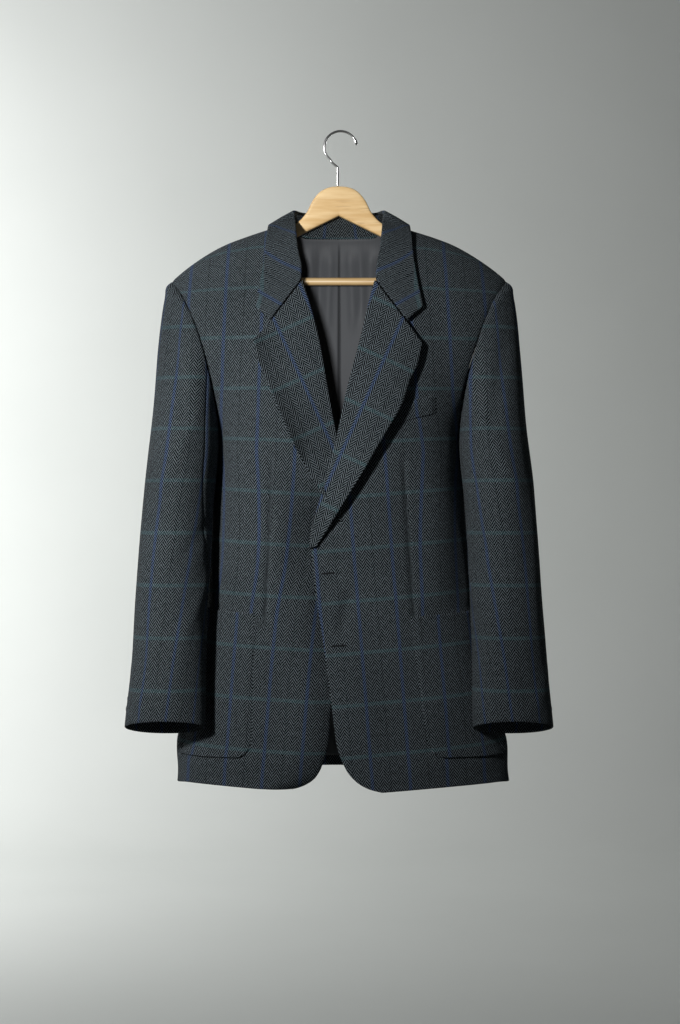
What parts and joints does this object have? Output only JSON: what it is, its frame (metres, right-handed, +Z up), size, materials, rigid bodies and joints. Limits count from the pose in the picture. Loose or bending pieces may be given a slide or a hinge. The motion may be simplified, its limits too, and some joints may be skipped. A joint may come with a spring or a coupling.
{
  "type": "wool jacket on a wooden hanger",
  "caption": "Single-breasted wool jacket with notch lapels, patch pockets and a chest welt, open at neck, hem and cuffs, hanging on a wooden hanger with a trouser bar and a wire hook.",
  "frame": {"origin": "bearing point inside the top of the hanger's hook, where a rail carries it", "axes": "+Z up, along the hook's stem; +X to the wearer's left; +Y to the jacket's back"},
  "size_m": [0.596, 0.2162, 0.9367],
  "materials": {
    "wool": "herringbone wool",
    "lining": "satin",
    "buttons": "satin",
    "wood": "clear varnish",
    "steel": "polished"
  },
  "bodies": {
    "root": {"front_left": "wool", "front_right": "wool", "back_left": "wool", "back_right": "wool", "lapel_left": "wool", "lapel_right": "wool", "pocket_left": "wool", "pocket_right": "wool", "sleeve_top_left": "wool", "sleeve_top_right": "wool", "sleeve_under_left": "wool", "sleeve_under_right": "wool", "collar_stand": "wool", "collar_fall": "wool", "chest_welt": "wool", "lining_left": "lining", "lining_right": "lining", "button_front_upper": "buttons", "button_front_lower": "buttons", "button_cuff_left_1": "buttons", "button_cuff_left_2": "buttons", "button_cuff_left_3": "buttons", "button_cuff_right_1": "buttons", "button_cuff_right_2": "buttons", "button_cuff_right_3": "buttons", "hanger_body": "wood", "hanger_bar": "wood", "hanger_hook": "steel"}
  },
  "joints": []
}
